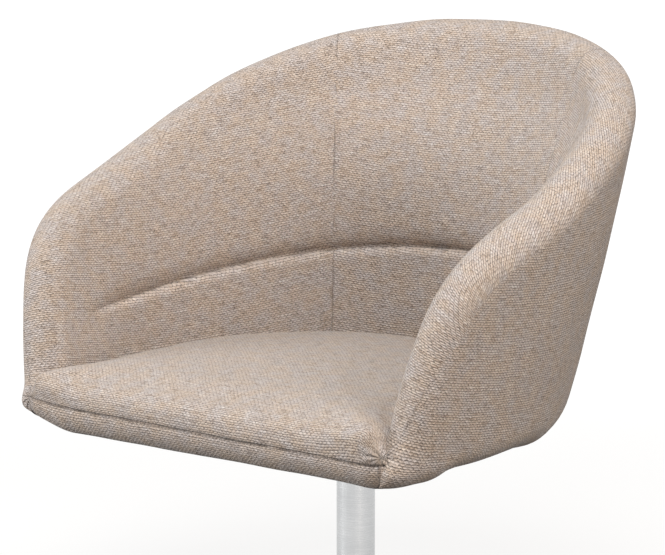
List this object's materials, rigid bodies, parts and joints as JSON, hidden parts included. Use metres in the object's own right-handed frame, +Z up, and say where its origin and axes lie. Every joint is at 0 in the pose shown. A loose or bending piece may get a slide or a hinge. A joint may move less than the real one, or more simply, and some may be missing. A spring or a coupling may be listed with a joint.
{
  "type": "pedestal swivel armchair",
  "caption": "Low tub armchair with a padded wrap-around back and crowned seat that swivels on a steel column with a star foot.",
  "frame": {"origin": "on the floor, under the swivel axis and the middle of the chair", "axes": "+Z up, the sitter faces -Y, +X to the sitter's left"},
  "size_m": [0.7358, 0.6495, 0.8074],
  "materials": {
    "satin_steel": "satin brushed",
    "black_nylon": "moulded, matte",
    "pale_nylon": "machined, matte",
    "zinc_steel": "zinc plated",
    "painted_steel": "black powder coat",
    "plywood": "plain moulded plywood",
    "black_cloth": "non-woven lining",
    "tweed": "chunky beige basket-weave tweed over foam"
  },
  "bodies": {
    "base": {"star_hub": "satin_steel", "star_arm_1": "satin_steel", "star_arm_2": "satin_steel", "star_arm_3": "satin_steel", "star_arm_4": "satin_steel", "column_tube": "satin_steel", "foot_glide_1": "black_nylon", "foot_glide_2": "black_nylon", "foot_glide_3": "black_nylon", "foot_glide_4": "black_nylon", "hub_cap": "black_nylon", "upper_bush": "pale_nylon", "lower_bush": "pale_nylon", "glide_stud_1": "zinc_steel", "glide_stud_2": "zinc_steel", "glide_stud_3": "zinc_steel", "glide_stud_4": "zinc_steel", "thrust_washer": "zinc_steel"},
    "seat": {"spindle": "zinc_steel", "retaining_washer": "zinc_steel", "retaining_screw": "zinc_steel", "plate_bolt_1": "zinc_steel", "plate_bolt_2": "zinc_steel", "plate_bolt_3": "zinc_steel", "plate_bolt_4": "zinc_steel", "tee_nut_1": "zinc_steel", "tee_nut_2": "zinc_steel", "tee_nut_3": "zinc_steel", "tee_nut_4": "zinc_steel", "panel_screw_1": "zinc_steel", "panel_screw_2": "zinc_steel", "panel_screw_3": "zinc_steel", "panel_screw_4": "zinc_steel", "panel_screw_5": "zinc_steel", "panel_screw_6": "zinc_steel", "spindle_boss": "painted_steel", "plate_gusset_1": "painted_steel", "plate_gusset_2": "painted_steel", "plate_gusset_3": "painted_steel", "plate_gusset_4": "painted_steel", "mounting_plate": "painted_steel", "seat_board": "plywood", "tub_panel": "plywood", "dust_cover": "black_cloth", "tub_padding": "tweed", "lower_back_pad": "tweed", "seat_cushion": "tweed", "front_border": "tweed"}
  },
  "joints": [
    {"name": "swivel", "type": "hinge", "parent": "base", "child": "seat", "pos_m": [0, 0, 0.29], "axis": [0, 0, 1], "continuous": true}
  ]
}
